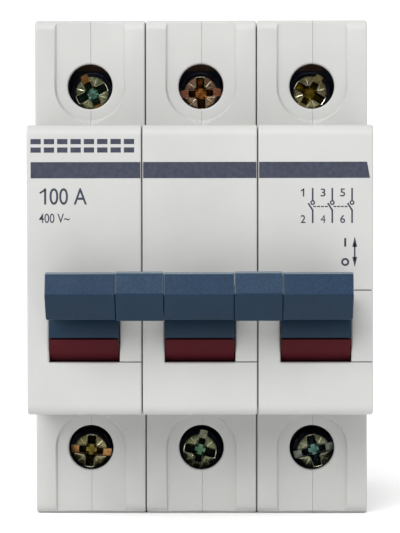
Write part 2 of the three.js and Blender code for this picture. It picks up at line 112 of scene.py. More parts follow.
def new_object(name, bm):
    mesh = bpy.data.meshes.new(name)
    bm.to_mesh(mesh)
    bm.free()
    obj = bpy.data.objects.new(name, mesh)
    bpy.context.scene.collection.objects.link(obj)
    return obj


def bake(obj):
    """Applies the object's modifiers to its own mesh."""
    bpy.context.view_layer.update()
    graph = bpy.context.evaluated_depsgraph_get()
    mesh = bpy.data.meshes.new_from_object(obj.evaluated_get(graph))
    old = obj.data
    obj.modifiers.clear()
    obj.data = mesh
    bpy.data.meshes.remove(old)
    return obj


def boolean(obj, tools, operation="DIFFERENCE"):
    for tool in tools:
        step = obj.modifiers.new("cut", "BOOLEAN")
        step.operation, step.solver, step.object = operation, "MANIFOLD", tool
    bake(obj)
    for tool in tools:
        mesh = tool.data
        bpy.data.objects.remove(tool)
        bpy.data.meshes.remove(mesh)
    return obj


def cad_copy(node, name):
    """A welded copy of a CAD node's mesh, free to be worked on."""
    bm = bmesh.new()
    bm.from_mesh(frame["nodes"][node].data)
    bmesh.ops.remove_doubles(bm, verts=bm.verts, dist=WELD)
    obj = new_object(name, bm)
    obj.data.materials.clear()
    return obj


def rounded(points, steps=5):
    """An outline of (a, b[, radius]) with true arcs at its corners, as a list of (a, b)."""
    out = []
    count = len(points)
    for i, point in enumerate(points):
        a, b = point[:2]
        radius = point[2] if len(point) > 2 else 0
        if radius <= 0:
            out.append((a, b))
            continue
        back, ahead = points[i - 1], points[(i + 1) % count]
        t0 = math.atan2(back[1] - b, back[0] - a)
        t1 = math.atan2(ahead[1] - b, ahead[0] - a)
        opening = (t1 - t0 + math.pi) % (2 * math.pi) - math.pi
        half = opening / 2
        reach = radius / abs(math.sin(half))
        ca, cb = a + reach * math.cos(t0 + half), b + reach * math.sin(t0 + half)
        turn = math.copysign(math.pi, half) - opening
        start = t0 - math.copysign(math.pi / 2, half)
        for k in range(steps + 1):
            t = start - turn * k / steps
            out.append((ca + radius * math.cos(t), cb + radius * math.sin(t)))
    return out


def inset(points, depth):
    """The same outline moved inwards by depth; corner radii shrink or grow to stay parallel."""
    count = len(points)
    area = sum(p[0] * q[1] - q[0] * p[1] for p, q in zip(points, points[1:] + points[:1]))
    sense = math.copysign(1, area)
    lines = []
    for p, q in zip(points, points[1:] + points[:1]):
        length = math.dist(p[:2], q[:2])
        da, db = (q[0] - p[0]) / length, (q[1] - p[1]) / length
        na, nb = -db * sense, da * sense
        lines.append((p[0] + na * depth, p[1] + nb * depth, da, db))
    out = []
    for i in range(count):
        a0, b0, da, db = lines[i - 1]
        a1, b1, ea, eb = lines[i]
        cross = da * eb - db * ea
        t = ((a1 - a0) * eb - (b1 - b0) * ea) / cross
        radius = points[i][2] if len(points[i]) > 2 else 0
        change = -depth if cross * sense > 0 else depth
        radius = max(0.02, radius + change) if radius else 0
        out.append((a0 + da * t, b0 + db * t, radius))
    return out


def rimmed(outline_at, x0, x1, edge, rim=3):
    """A body from x0 to x1 with quarter-round rims; outline_at(d) is its outline inset by d."""
    rings = []
    for k in range(rim + 1):
        t = math.pi / 2 * k / rim
        ring = outline_at(edge * (1 - math.sin(t)))
        rings.append([(x0 + edge * (1 - math.cos(t)), a, b) for a, b in ring])
    rings += [[(x0 + x1 - x, a, b) for x, a, b in ring] for ring in reversed(rings)]
    return loft(rings)


def loft(rings):
    """A closed body through rings of 3-D points (mm), each ring with the same count."""
    bm = bmesh.new()
    verts = [[bm.verts.new(Vector(p) * MM) for p in ring] for ring in rings]
    count = len(rings[0])
    for a, b in zip(verts, verts[1:]):
        for i in range(count):
            bm.faces.new((a[i], a[(i + 1) % count], b[(i + 1) % count], b[i]))
    bm.faces.new(list(reversed(verts[0])))
    bm.faces.new(verts[-1])
    bmesh.ops.recalc_face_normals(bm, faces=bm.faces)
    return bm


def prism(points, x0, x1):
    """An outline of (y, z) carried from x0 to x1."""
    return loft([[(x, y, z) for y, z in points] for x in (x0, x1)])


def lathe(profile, axis, centre, count=48):
    """A profile of (radius, along) turned round an axis; it starts and ends on the axis."""
    bm = bmesh.new()
    rings = []
    for radius, along in profile:
        if radius < 1e-6:
            rings.append([bm.verts.new(place(axis, centre, 0, 0, along) * MM)])
            continue
        ring = []
        for i in range(count):
            a = 2 * math.pi * i / count
            point = place(axis, centre, radius * math.cos(a), radius * math.sin(a), along)
            ring.append(bm.verts.new(point * MM))
        rings.append(ring)
    for a, b in zip(rings, rings[1:]):
        for i in range(count):
            j = (i + 1) % count
            quad = [a[i % len(a)], a[j % len(a)], b[j % len(b)], b[i % len(b)]]
            quad = list(dict.fromkeys(quad))
            if len(quad) > 2:
                bm.faces.new(quad)
    bmesh.ops.recalc_face_normals(bm, faces=bm.faces)
    return bm


def place(axis, centre, u, v, along):
    """A point beside an axis along X or Y; centre is the axis's place on the other two."""
    if axis == "Y":
        return Vector((centre[0] + u, along, centre[1] + v))
    return Vector((along, centre[0] + u, centre[1] + v))


def arc(centre, radius, start, end, steps):
    """Points (a, b) on an arc, its angles in degrees."""
    angles = [math.radians(start + (end - start) * i / steps) for i in range(steps + 1)]
    return [(centre[0] + radius * math.cos(t), centre[1] + radius * math.sin(t)) for t in angles]


def soften(obj, angle=32):
    """Smooth shading with crisp creases and flat flats."""
    obj.data.polygons.foreach_set("use_smooth", [True] * len(obj.data.polygons))
    obj.data.set_sharp_from_angle(angle=math.radians(angle))
    step = obj.modifiers.new("normals", "WEIGHTED_NORMAL")
    step.keep_sharp = True
    step.weight = 80
    return obj


def tidy(obj):
    """Welds the slivers that cutting leaves, and joins flat faces."""
    bm = bmesh.new()
    bm.from_mesh(obj.data)
    bmesh.ops.remove_doubles(bm, verts=bm.verts, dist=SLIVER)
    bmesh.ops.dissolve_degenerate(bm, edges=bm.edges, dist=SLIVER)
    bmesh.ops.dissolve_limit(
        bm, angle_limit=math.radians(0.4), verts=bm.verts, edges=bm.edges, delimit={"NORMAL"}
    )
    bmesh.ops.triangulate(bm, faces=[f for f in bm.faces if len(f.verts) > 4])
    bm.to_mesh(obj.data)
    bm.free()
    return obj


def break_edges(obj, width, angle):
    """Bevels the edges that are sharper than the angle."""
    step = obj.modifiers.new("edge", "BEVEL")
    step.width, step.segments, step.limit_method = width * MM, 2, "ANGLE"
    step.angle_limit = math.radians(angle)
    return bake(obj)


def finish_piece(obj, body, material, slot, *nodes):
    obj.data.materials.clear()
    obj.data.materials.append(material)
    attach(obj, body)
    if nodes:
        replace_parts(obj, *nodes)
    return obj


# ------------------------------------------------------------------ materials


class Shader:
    """A Principled material with the small node helpers the finishes below share."""

    def __init__(self, name, color, roughness, metallic=0.0, specular=0.5):
        self.material = bpy.data.materials.new(name)
        self.material.use_nodes = True
        self.tree = self.material.node_tree
        self.bsdf = self.tree.nodes["Principled BSDF"]
        self.set("Base Color", (*color, 1))
        self.set("Roughness", roughness)
        self.set("Metallic", metallic)
        self.set("Specular IOR Level", specular)
        self.place = self.node("ShaderNodeTexCoord").outputs["Object"]

    def set(self, socket, value):
        self.bsdf.inputs[socket].default_value = value

    def node(self, kind, **values):
        made = self.tree.nodes.new(kind)
        for key, value in values.items():
            setattr(made, key, value)
        return made

    def link(self, a, b):
        self.tree.links.new(a, b)

    def noise(self, scale, detail=2.0, rough=0.5, stretch=None):
        made = self.node("ShaderNodeTexNoise")
        made.inputs["Scale"].default_value = scale
        made.inputs["Detail"].default_value = detail
        made.inputs["Roughness"].default_value = rough
        source = self.place
        if stretch:
            mapping = self.node("ShaderNodeMapping")
            mapping.inputs["Scale"].default_value = stretch
            self.link(source, mapping.inputs["Vector"])
            source = mapping.outputs["Vector"]
        self.link(source, made.inputs["Vector"])
        return made.outputs["Fac"]

    def ramp(self, fac, stops):
        made = self.node("ShaderNodeValToRGB")
        bar = made.color_ramp
        while len(bar.elements) < len(stops):
            bar.elements.new(0.5)
        for element, (at, color) in zip(bar.elements, stops):
            element.position = at
            element.color = (*color, 1)
        self.link(fac, made.inputs["Fac"])
        return made.outputs["Color"]

    def spread(self, fac, low, high):
        made = self.node("ShaderNodeMapRange")
        made.inputs["From Min"].default_value = 0.3
        made.inputs["From Max"].default_value = 0.7
        made.inputs["To Min"].default_value = low
        made.inputs["To Max"].default_value = high
        self.link(fac, made.inputs["Value"])
        return made.outputs["Result"]

    def bump(self, height, distance_mm, strength=1.0, after=None):
        made = self.node("ShaderNodeBump")
        made.inputs["Distance"].default_value = distance_mm * MM
        made.inputs["Strength"].default_value = strength
        self.link(height, made.inputs["Height"])
        if after:
            self.link(after, made.inputs["Normal"])
        return made.outputs["Normal"]

    def finish(self, normal=None, color=None, roughness=None):
        for value, socket in ((normal, "Normal"), (color, "Base Color"), (roughness, "Roughness")):
            if value is not None:
                self.link(value, self.bsdf.inputs[socket])
        return self.material


def scaled(color, factor):
    return tuple(min(1.0, c * factor) for c in color)


def moulded(
    name, color, roughness, grain_mm=0.16, depth_mm=0.006, vary=0.03, specular=0.45, cloud=90.0
):
    """Moulded plastic: spark-eroded grain, flow clouds or speckles, slightly uneven gloss."""
    s = Shader(name, color, roughness, specular=specular)
    clouds = s.noise(cloud, 3.0)
    tone = s.ramp(clouds, [(0.3, scaled(color, 1 - vary)), (0.7, scaled(color, 1 + vary))])
    grain = s.bump(s.noise(1 / (grain_mm * MM), 2.0, 0.6), depth_mm)
    wave = s.bump(s.noise(260.0, 1.0), 0.01, 0.6, after=grain)
    gloss = s.spread(s.noise(420.0, 3.0), roughness - 0.05, roughness + 0.06)
    return s.finish(normal=wave, color=tone, roughness=gloss)


def plated(name, colors, roughness, scale=240.0):
    """Chromated or plated metal: colours that drift over the surface, with fine tool marks."""
    s = Shader(name, colors[0], roughness, metallic=1.0)
    stops = [(0.28 + 0.44 * i / (len(colors) - 1), c) for i, c in enumerate(colors)]
    tone = s.ramp(s.noise(scale, 2.0, 0.55), stops)
    marks = s.bump(s.noise(5200.0, 2.0), 0.004)
    gloss = s.spread(s.noise(1500.0, 3.0), roughness - 0.08, roughness + 0.12)
    return s.finish(normal=marks, color=tone, roughness=gloss)


def drawn(name, color, roughness, stretch=(1.0, 14.0, 1.0)):
    """Rolled or drawn metal with marks along one direction."""
    s = Shader(name, color, roughness, metallic=1.0)
    tone = s.ramp(s.noise(500.0, 3.0), [(0.3, scaled(color, 0.86)), (0.7, scaled(color, 1.08))])
    lines = s.bump(s.noise(900.0, 4.0, 0.6, stretch), 0.006)
    gloss = s.spread(s.noise(700.0, 3.0, 0.5, stretch), roughness - 0.08, roughness + 0.1)
    return s.finish(normal=lines, color=tone, roughness=gloss)


def woven(name, color):
    """Copper braid: two crossing sets of ridges."""
    s = Shader(name, color, 0.35, metallic=1.0)
    ridges = []
    for turn in (0.7, -0.7):
        mapping = s.node("ShaderNodeMapping")
        mapping.inputs["Rotation"].default_value = (turn, 0, 0)
        s.link(s.place, mapping.inputs["Vector"])
        wave = s.node("ShaderNodeTexWave")
        wave.inputs["Scale"].default_value = 420.0
        s.link(mapping.outputs["Vector"], wave.inputs["Vector"])
        ridges.append(wave.outputs["Fac"])
    top = s.node("ShaderNodeMath", operation="MAXIMUM")
    s.link(ridges[0], top.inputs[0])
    s.link(ridges[1], top.inputs[1])
    tone = s.ramp(top.outputs[0], [(0.2, scaled(color, 0.35)), (0.8, color)])
    return s.finish(normal=s.bump(top.outputs[0], 0.12), color=tone)


GREY = (0.4, 0.4, 0.39)
BLUE = (0.0032, 0.0172, 0.037)
# The heads' up-facing front facet: the mottled grain is the mould's own, and its blue, lighter than
# BLUE, is painted light falling on it from above.
FACET_LIT_BLUE = (0.003, 0.0195, 0.048)
# The couplers' up-facing front facet: mottled grain of its own, with a lighter blue that is painted
# light from above.
COUPLER_FACET_LIT_BLUE = (0.008, 0.027, 0.057)
INK_BLUE = (0.034, 0.038, 0.058)
HOUSING = moulded("housing_plastic", GREY, 0.5)
LEVER = moulded("lever_plastic", BLUE, 0.48, 0.22, 0.012, 0.1, 0.2)
LEVER_FACET = moulded("lever_facet", FACET_LIT_BLUE, 0.48, 0.22, 0.012, 0.3, 0.2, cloud=2800.0)
COUPLER_FACET = moulded("coupler_facet", COUPLER_FACET_LIT_BLUE, 0.5, 0.22, 0.012, 0.3, 0.2, cloud=2800.0)
# Light grey-blue on the heads' up-facing chamfer and end rims: a painted highlight from the light
# above, on a glossy finish.
LEVER_EDGE_HIGHLIGHT = moulded("lever_edge_painted_highlight", (0.1, 0.135, 0.16), 0.3, 0.22, 0.004, 0.1, 0.7)
CLIP = moulded("clip_plastic", (0.37, 0.37, 0.34), 0.5)
CARRIER_MAT = moulded("carrier_plastic", (0.018, 0.018, 0.02), 0.5, vary=0.1)
RED = moulded("indicator_red", (0.05, 0.006, 0.009), 0.5, depth_mm=0.003, specular=0.06)
GREEN = moulded("indicator_green", (0.008, 0.11, 0.035), 0.4, depth_mm=0.003, specular=0.2)
INK = moulded("print_ink", INK_BLUE, 0.5, 0.16, 0.002, 0.2, 0.2, cloud=1500.0)
STEEL = drawn("plated_steel", (0.5, 0.5, 0.51), 0.34)
# The clamps' dark navy is painted shade: it stands for the shade in the screw wells, where the
# clamps show past the screw heads.
CLAMP_SHADE_STEEL = drawn("clamp_steel_painted_shade", (0.05, 0.055, 0.08), 0.42)
COPPER = drawn("copper", (0.17, 0.09, 0.06), 0.42)
BRAID = woven("copper_braid", (0.6, 0.3, 0.2))

# Near-white gold on the screws' top edges, rims and tick grooves: a painted highlight, the glint of
# the key light on them.
SCREW_EDGE_HIGHLIGHT = plated("chromate_edge_painted_highlight", [(0.7, 0.67, 0.45), (0.85, 0.82, 0.6)], 0.2)
# Dark blue-grey on every screw's sloping rim: painted shade, the dark ring where the head sinks
# into its well.
SCREW_SHOULDER_SHADE = plated("chromate_shoulder_painted_shade", [(0.12, 0.15, 0.26), (0.2, 0.22, 0.33)], 0.4)

# Yellow-chromated screws: the film's colour differs from screw to screw. The colours for the
# recess's bars and core are each film's hue made darker: painted shade down in the cross recess.
PALETTE = {
    ("line", 1): {
        "face": [(0.25, 0.26, 0.15), (0.12, 0.14, 0.06), (0.37, 0.37, 0.26)],
        "shaded_arm": [(0.037, 0.074, 0.062), (0.124, 0.161, 0.118)],
        "core": [(0.03, 0.10, 0.08), (0.13, 0.25, 0.19)],
        "end": [(0.255, 0.128, 0.038), (0.210, 0.105, 0.030)],
    },
    ("line", 2): {
        "face": [(0.26, 0.12, 0.10), (0.21, 0.12, 0.06), (0.31, 0.17, 0.14)],
        "shaded_arm": [(0.099, 0.056, 0.019), (0.223, 0.112, 0.031)],
        "core": [(0.10, 0.04, 0.01), (0.34, 0.13, 0.03)],
        "end": [(0.315, 0.128, 0.075), (0.255, 0.098, 0.060)],
    },
    ("line", 3): {
        "face": [(0.14, 0.11, 0.05), (0.22, 0.19, 0.09), (0.11, 0.09, 0.06)],
        "shaded_arm": [(0.087, 0.068, 0.012), (0.198, 0.155, 0.031)],
        "core": [(0.05, 0.03, 0.005), (0.13, 0.09, 0.01)],
        "end": [(0.165, 0.143, 0.060), (0.195, 0.150, 0.060)],
    },
    ("load", 1): {
        "face": [(0.27, 0.22, 0.10), (0.14, 0.13, 0.05), (0.35, 0.26, 0.14)],
        "shaded_arm": [(0.050, 0.050, 0.019), (0.124, 0.099, 0.031)],
        "core": [(0.05, 0.04, 0.01), (0.2, 0.15, 0.03)],
        "end": [(0.315, 0.165, 0.060), (0.225, 0.112, 0.045)],
    },
    ("load", 2): {
        "face": [(0.16, 0.16, 0.07), (0.10, 0.12, 0.06), (0.26, 0.26, 0.13)],
        "shaded_arm": [(0.037, 0.062, 0.056), (0.093, 0.112, 0.081)],
        "core": [(0.02, 0.05, 0.03), (0.09, 0.17, 0.1)],
        "end": [(0.120, 0.120, 0.083), (0.090, 0.090, 0.060)],
    },
    ("load", 3): {
        "face": [(0.14, 0.14, 0.08), (0.10, 0.11, 0.07), (0.22, 0.22, 0.14)],
        "shaded_arm": [(0.037, 0.062, 0.068), (0.093, 0.124, 0.118)],
        "core": [(0.02, 0.05, 0.04), (0.09, 0.17, 0.15)],
        "end": [(0.120, 0.135, 0.112), (0.090, 0.098, 0.083)],
    },
}
ZINC = {
    (end, pole): {
        zone: plated(f"chromate_{end}_{pole}_{zone}", colors, 0.2, 520.0)
        for zone, colors in zones.items()
    }
    for (end, pole), zones in PALETTE.items()
}

# ------------------------------------------------------------------ housing shells

SEAT_HALF = 14.6  # the flat that bears on the rail
SEAT_RELIEF = -0.15
RAIL_HALF = 17.8  # the slot for a 35 mm rail
RAIL_UPPER_LIP = 15.2
FLANGE = 1.4  # depth of the slot behind the seat
WAIST_HALF = 29  # where the body slopes back to the rail's hooks
HOOK_HALF = 25
OUTER = [
    (NOSE_FRONT, -NOSE_HALF, 1.7),
    (SHOULDER, -NOSE_HALF, 0.35),
    (SHOULDER, -BODY_HALF, 1.7),
    (-8, -BODY_HALF, 0.8),
    (-5, -BODY_HALF + 3, 0.8),
    (-5, -WAIST_HALF, 0.8),
    (BACK, -HOOK_HALF, 0.5),
    (BACK, -18.3, 0.4),
    (SEAT_RELIEF, -18.3, 0.1),
    (SEAT_RELIEF, -SEAT_HALF),
    (0, -SEAT_HALF),
    (0, SEAT_HALF),
    (SEAT_RELIEF, SEAT_HALF),
    (SEAT_RELIEF, RAIL_HALF, 0.1),
    (FLANGE, RAIL_HALF, 0.1),
    (FLANGE, RAIL_UPPER_LIP, 0.3),
    (BACK - 1.4, RAIL_UPPER_LIP, 0.3),
    (BACK, 17, 0.4),
    (BACK, HOOK_HALF, 0.5),
    (-5, WAIST_HALF, 0.8),
    (-5, BODY_HALF - 3, 0.8),
    (-8, BODY_HALF, 0.8),
    (SHOULDER, BODY_HALF, 1.7),
    (SHOULDER, NOSE_HALF, 0.35),
    (NOSE_FRONT, NOSE_HALF, 1.7),
]
RECESS_RADIUS = 5.42
RECESS_FLOOR = SHOULDER + RECESS_DEPTH + 0.02
SCREW_HOLE = 3.62
WIRE_HALF, WIRE_FRONT, WIRE_REAR = 4.9, -24.2, -13.8
WINDOW_HALF, WINDOW_BOTTOM, WINDOW_TOP = 5.45, -14.25, -3.0
COUNTERBORE, COUNTERBORE_DEPTH = 3, 0.9


def u_ring(xc, side, grow, y, steps=36):
    """The outline of a terminal's shallow U recess, open beyond the end of the body."""
    r = RECESS_RADIUS + grow
    end = side * (BODY_HALF + 2)
    z = side * SCREW_Z
    half = [
        (xc + r * math.cos(math.pi * i / steps), y, z - side * r * math.sin(math.pi * i / steps))
        for i in range(steps + 1)
    ]
    return [(xc + r, y, end)] + half + [(xc - r, y, end)]


def recess_tool(xc, side):
    depths = [(0.7, SHOULDER - 0.45), (0.32, SHOULDER), (0.06, SHOULDER + 0.36)]
    return loft([u_ring(xc, side, grow, y) for grow, y in depths + [(0, RECESS_FLOOR)]])


def hole_tool(xc, side):
    floor = RECESS_FLOOR
    rim = [(SCREW_HOLE + a, b) for a, b in arc((0.3, floor + 0.3), 0.3, 270, 180, 6)]
    profile = [(0, floor - 1), (3.95, floor - 1)] + rim + [(SCREW_HOLE, -39), (0, -39)]
    return lathe(profile, "Y", (xc, side * SCREW_Z), 64)


def entry_tool(xc, side):
    """Rounds the mouth of a wire entry."""
    rings = []
    for grow, z in ((0.9, 0.6), (0.32, 0), (0.1, -0.12), (0, -0.34), (0, -3)):
        x = WIRE_HALF + grow
        y0, y1 = WIRE_FRONT - grow, WIRE_REAR + grow
        points = rounded([(y0, -x, 0.6), (y1, -x, 0.6), (y1, x, 0.6), (y0, x, 0.6)], 4)
        rings.append([(xc + b, a, side * (BODY_HALF + z)) for a, b in points])
    return loft(rings)


def window_tool(xc):
    """Rounds the mouth of the lever's window."""
    rings = []
    for grow, y in ((0.7, -0.4), (0.26, 0), (0.08, 0.1), (0, 0.28), (0, 1.2)):
        x, z0, z1 = WINDOW_HALF + grow, WINDOW_BOTTOM - grow, WINDOW_TOP + grow
        points = rounded([(z0, -x, 0.35), (z1, -x, 0.35), (z1, x, 0.35), (z0, x, 0.35)], 3)
        rings.append([(xc + b, NOSE_FRONT + y, a) for a, b in points])
    return loft(rings)


def rivet_tool(face, inward, at):
    """Rounds the mouth of a rivet's counterbore."""
    floor = face + inward * COUNTERBORE_DEPTH
    profile = [(0, face - inward), (3.35, face - inward), (3.35, face)]
    profile += [(3.08, face + inward * 0.06), (COUNTERBORE, face + inward * 0.2)]
    profile += [(COUNTERBORE, floor), (0, floor)]
    return lathe(profile, "X", at, 48)


RIVETS = [middle(f"housing_rivet_{i}") for i in range(1, 5)]


def shell(pole, kind):
    node = f"pole{pole}_{kind}_shell"
    xc = CENTRE[pole]
    obj = cad_copy(node, f"{node}_moulding")
    body = rimmed(lambda d: rounded(inset(OUTER, d), 6), xc - HALF, xc + HALF, 0.3)
    boolean(obj, [new_object("rounded_body", body)], "INTERSECT")
    tools = [new_object("window", window_tool(xc))]
    for side in (-1, 1):
        tools.append(new_object("recess", recess_tool(xc, side)))
        tools.append(new_object("hole", hole_tool(xc, side)))
        tools.append(new_object("entry", entry_tool(xc, side)))
    outer = {(1, "base"): -1, (3, "cover"): 1}.get((pole, kind))
    if outer:
        face = xc + outer * HALF
        tools += [new_object("bore", rivet_tool(face, -outer, at)) for at in RIVETS]
    boolean(obj, tools)
    tidy(obj)
    soften(obj, 20)
    return finish_piece(obj, "housing", HOUSING, "housing", node)


# ------------------------------------------------------------------ levers, hubs, couplers


def lever_point(forward, up):
    """A point of the lever's own frame, at rest, as (y, z)."""
    a = math.radians(LEVER_ANGLE)
    y = PIVOT.y - (forward * math.cos(a) - up * math.sin(a))
    z = PIVOT.z + forward * math.sin(a) + up * math.cos(a)
    return y, z


HEAD = [
    (12.25, -3.6, 0.4),
    (16.6, -0.9, 0.45),
    (17.07, 2.3, 0.12),
    (16.69, 2.76, 0.12),
    (12.4, 2.8, 0.3),
]
HEAD_CENTRE = (15, 0.4)
HEAD_BACK = -70  # faces in front of this plane belong to the heads
COUPLER_SKIN = 0.12
COUPLER_RADII = (0.22, 1.05, 0.18, 0.18, 0.36)
ARM = [(3, -0.9), (11.6, -0.9, 0.6)] + HEAD[:4] + [(12.4, 2.8, 2.0), (3, 2.4)]
BLUE_SECTOR = 37.7
LEVER_HALF = 5.3
HUB_HALF = 5.38
HUB_RADIUS = 6.1
CORE_RADIUS = 5.2
AXLE_RADIUS, AXLE_REACH = 1.5, 7.9
TIE_HOLE, LINK_HOLE = 1.2, 0.9


def lever_prism(section, x0, x1, edge):
    """A section in the lever's own (forward, up) carried along X."""

    def outline(depth):
        return [lever_point(*p) for p in rounded(inset(section, depth), 5)]

    return rimmed(outline, x0, x1, edge)


def ring_prism(inner, outer, start, end, steps, x0, x1, edge):
    """A ring sector about the pivot; angles are in degrees above straight ahead."""

    def outline(depth):
        out = []
        for radius, way in ((outer - depth, 1), (inner + depth, -1)):
            shift = math.degrees(depth / radius)
            first, last = start + shift, end - shift
            for i in range(steps + 1):
                t = math.radians(first + (last - first) * (i if way > 0 else steps - i) / steps)
                out.append((PIVOT.y - radius * math.cos(t), PIVOT.z + radius * math.sin(t)))
        return out

    return rimmed(outline, x0, x1, edge, 2)


def spindle(radius, xc, half):
    """The profile of a short bar along X with its ends broken."""
    broken = radius - 0.2
    near, far = xc - half, xc + half
    profile = [(0, near), (broken, near), (radius, near + 0.2)]
    return profile + [(radius, far - 0.2), (broken, far), (0, far)]


def rod(radius, x0, x1, at):
    return lathe([(0, x0), (radius, x0), (radius, x1), (0, x1)], "X", at, 24)


def polish(obj, facet):
    """Paints light on a head by the way its faces point: the up-facing chamfer and end rims get a
    lighter, glossy blue as a painted highlight, and the up-facing front facet gets its own lighter
    mottled blue.
    """
    obj.data.materials.append(LEVER_EDGE_HIGHLIGHT)
    obj.data.materials.append(facet)
    for face in obj.data.polygons:
        n = face.normal
        chamfer = 0.7 < n.z < 0.95 and abs(n.x) < 0.3
        rim = n.z > 0.1 and 0.3 < abs(n.x) < 0.9
        front = 0.1 < n.z < 0.5 and abs(n.x) < 0.3
        if face.center.y / MM < HEAD_BACK and n.y < 0:
            face.material_index = 1 if chamfer or rim else 2 if front else 0
    return obj


def lever(pole):
    node = f"pole{pole}_lever"
    xc = CENTRE[pole]
    at = (PIVOT.y, PIVOT.z)
    obj = new_object(f"{node}_moulding", lever_prism(ARM, xc - LEVER_HALF, xc + LEVER_HALF, 0.22))
    core = lathe(spindle(CORE_RADIUS, xc, HUB_HALF), "X", at, 72)
    sector = (LEVER_ANGLE - BLUE_SECTOR, LEVER_ANGLE + BLUE_SECTOR)
    rim = ring_prism(4.4, HUB_RADIUS, *sector, 30, xc - HUB_HALF, xc + HUB_HALF, 0.12)
    axle = lathe(spindle(AXLE_RADIUS, xc, AXLE_REACH), "X", at, 32)
    for name, bm in (("core", core), ("rim", rim), ("axle", axle)):
        boolean(obj, [new_object(name, bm)], "UNION")
    ends = {1: (xc - 3.5, xc + 9), 2: (xc - 9, xc + 9), 3: (xc - 9, xc + 3.5)}[pole]
    hinge = HUB[f"link_turn_{pole}"]
    holes = [
        rod(TIE_HOLE, *ends, middle("lever_tie_rod")),
        rod(LINK_HOLE, xc + 1.2, xc + 9, hinge[1:]),
    ]
    boolean(obj, [new_object("hole", bm) for bm in holes])
    tidy(obj)
    soften(obj)
    return polish(finish_piece(obj, "handle", LEVER, "lever", node), LEVER_FACET)


def coupler(i):
    """The head's section with a thin skin all round."""
    node = f"lever_coupler_{i}"
    low, high = BOX[node]
    cf, cu = HEAD_CENTRE
    points = []
    for (f, u, _), r in zip(HEAD, COUPLER_RADII):
        away = math.hypot(f - cf, u - cu)
        grow = (away + COUPLER_SKIN) / away
        points.append((cf + (f - cf) * grow, cu + (u - cu) * grow, r))
    obj = new_object(f"{node}_moulding", lever_prism(points, low.x, high.x, 0.18))
    bore = rod(TIE_HOLE, low.x - 1, high.x + 1, middle("lever_tie_rod"))
    boolean(obj, [new_object("hole", bore)])
    tidy(obj)
    soften(obj)
    return polish(finish_piece(obj, "handle", LEVER, "lever", node), COUPLER_FACET)


def indicator(pole):
    """A sleeve round the back of the hub, red at its lower end and green at its upper one."""
    node = f"pole{pole}_indicator"
    xc = CENTRE[pole]
    edge = BLUE_SECTOR + 3
    start, end = LEVER_ANGLE + edge, LEVER_ANGLE + 360 - edge
    half = HUB_HALF - 0.03
    sleeve = ring_prism(5.5, HUB_RADIUS, start, end, 60, xc - half, xc + half, 0.1)
    obj = new_object(f"{node}_sleeve", sleeve)
    soften(obj)
    finish_piece(obj, "handle", RED, "indicator", node)
    obj.data.materials.append(GREEN)
    for face in obj.data.polygons:
        c = face.center / MM
        angle = math.degrees(math.atan2(c.z - PIVOT.z, PIVOT.y - c.y)) - LEVER_ANGLE
        face.material_index = 1 if angle % 360 < 180 else 0
    return obj


# ------------------------------------------------------------------ terminal screws


# How far each screw's full slot is turned from level, seen from the front
SLOT_DEGREES = {"line": [116, 3, 59], "load": [-6, 78, 14]}
# (half length, half width, depth) of the recess's bars, from above the head down
LONG_SLOT = [(4, 1.55, -0.3), (4, 0.66, 0.13), (4, 0.58, 1.15)]
CROSS = [(3.45, 1.55, -0.3), (2.58, 0.66, 0.13), (2.35, 0.6, 0.85), (0.85, 0.35, 2.2)]
# (radius, depth) of the head's outline, from its middle out and down
HEAD_PROFILE = [(0, 0.01), (1.6, 0.02), (2.35, 0.04), (2.66, 0.08), (2.78, 0.26)]
HEAD_PROFILE += [(2.95, 0.42), (3.2, 0.72), (3.36, 1.1), (3.4, 1.4)]
HEAD_RADIUS, HEAD_DEPTH = 3.4, 2.4
THREAD_ROOT, THREAD_CREST = 2.0, 2.38


def arm_cutter(top, sections):
    """One bar of a screw's recess, along X."""
    rings = []
    for a, b, depth in sections:
        r = b * 0.3
        outline = rounded([(-a, -b, r), (a, -b, r), (a, b, r), (-a, b, r)], 2)
        rings.append([(u, top + depth, v) for u, v in outline])
    return loft(rings)


def tick_cutter(top):
    """A V groove that marks the space between two bars of the recess."""
    rings = []
    for r, half, depth in ((1.25, 0.07, 0.02), (2.95, 0.27, 0.11)):
        wide = half * (depth + 0.3) / depth
        rings.append([(r, top - 0.3, -wide), (r, top - 0.3, wide), (r, top + depth, 0)])
    return loft(rings)


def turned(bm, degrees, x, z):
    """Turns a cutter made at the origin, as seen from the front, and takes it to the screw."""
    spin = Matrix.Rotation(math.radians(-degrees), 4, "Y")
    bm.transform(Matrix.Translation(Vector((x, 0, z)) * MM) @ spin)
    return bm


